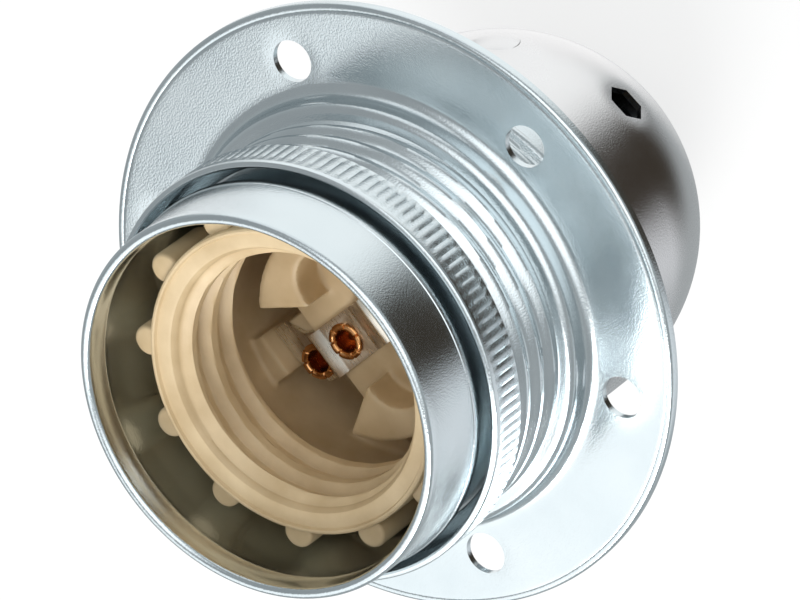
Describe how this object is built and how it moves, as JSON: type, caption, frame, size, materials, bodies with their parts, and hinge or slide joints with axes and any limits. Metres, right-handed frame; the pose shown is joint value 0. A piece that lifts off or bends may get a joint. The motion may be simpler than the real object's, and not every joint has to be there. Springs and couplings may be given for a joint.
{
  "type": "screw-shell lamp holder",
  "caption": "Metal screw-shell lamp holder with domed rear cap, threaded skirt, screwed-on round flange ring and moulded insulating inside with spring contacts.",
  "frame": {"origin": "on the axis, at the rear face of the threaded cable entry", "axes": "+Z along the lamp axis towards the mouth that takes the lamp; +Y along the contact strip"},
  "size_m": [0.063, 0.063, 0.0674],
  "materials": {
    "zinc": "bright zinc plating, bluish",
    "zinc_dull": "zinc plated steel",
    "insulator": "beige moulded insulator, matt",
    "brass": "plain turned brass",
    "nickel": "nickel plated strip",
    "copper": "copper eyelet"
  },
  "bodies": {
    "holder": {"rear_cap": "zinc", "entry_bush": "zinc_dull", "support_bridge": "zinc_dull", "base_screws": "zinc_dull", "earth_terminal": "zinc_dull", "earth_rivet": "zinc", "earth_washer": "zinc_dull", "thread_insert": "insulator", "contact_base": "insulator", "centre_contact": "nickel", "side_contact": "nickel", "plate_eyelet": "copper", "step_eyelet": "copper", "line_terminal": "brass", "neutral_terminal": "brass"},
    "skirt": {"threaded_skirt": "zinc"},
    "ring": {"flange_ring": "zinc"},
    "lock_screw": {"lock_screw": "zinc_dull"},
    "earth_screw": {"earth_screw": "zinc_dull"},
    "line_screw": {"line_screw": "zinc_dull"},
    "neutral_screw": {"neutral_screw": "zinc_dull"}
  },
  "joints": [
    {"name": "skirt_turn", "type": "hinge", "parent": "holder", "child": "skirt", "pos_m": [0, 0, 0.03], "axis": [0, 0, 1], "range_deg": [0, 860]},
    {"name": "ring_turn", "type": "hinge", "parent": "skirt", "child": "ring", "pos_m": [0, 0, 0.05], "axis": [0, 0, 1], "continuous": true},
    {"name": "lock_screw_turn", "type": "hinge", "parent": "holder", "child": "lock_screw", "pos_m": [0, -0.0055, 0.00225], "axis": [0, -1, 0], "continuous": true},
    {"name": "earth_screw_turn", "type": "hinge", "parent": "holder", "child": "earth_screw", "pos_m": [0.00935, -0.00784, 0.019], "axis": [0, 0, 1], "continuous": true},
    {"name": "line_screw_turn", "type": "hinge", "parent": "holder", "child": "line_screw", "pos_m": [0, 0.009, 0.029], "axis": [0, 0, -1], "continuous": true},
    {"name": "neutral_screw_turn", "type": "hinge", "parent": "holder", "child": "neutral_screw", "pos_m": [0, -0.009, 0.029], "axis": [0, 0, -1], "continuous": true}
  ]
}
